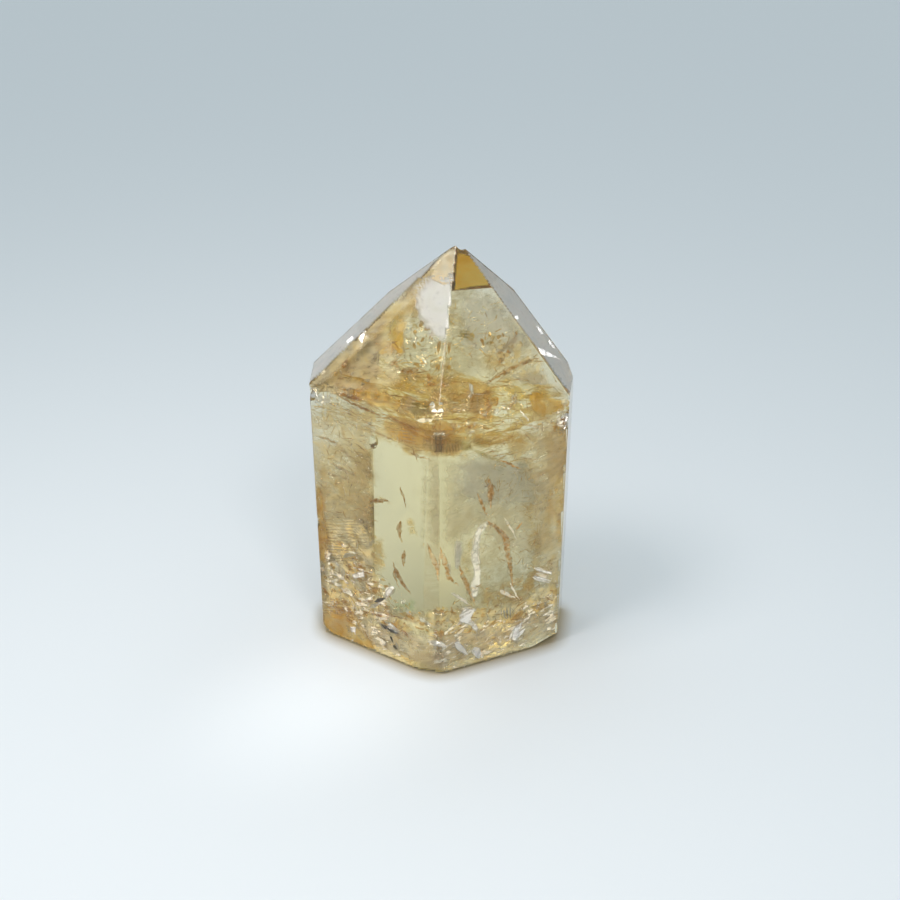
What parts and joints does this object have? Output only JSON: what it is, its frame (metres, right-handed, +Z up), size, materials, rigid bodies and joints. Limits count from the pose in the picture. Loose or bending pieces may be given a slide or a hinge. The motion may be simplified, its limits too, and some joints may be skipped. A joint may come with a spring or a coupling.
{
  "type": "citrine crystal point",
  "caption": "Polished citrine crystal point: a flattened faceted prism with a pyramid tip, free-standing on a flat ground base.",
  "frame": {"origin": "middle of the bounding box, on the plane of the flat ground base", "axes": "+Z up along the crystal to its tip, the two widest polished faces towards -Y, +X to their right"},
  "size_m": [0.0382, 0.0244, 0.0629],
  "materials": {
    "citrine": "clear straw-yellow quartz, high polish, with amber veils and small fractures inside"
  },
  "bodies": {
    "root": {"citrine_point": "citrine"}
  },
  "joints": []
}
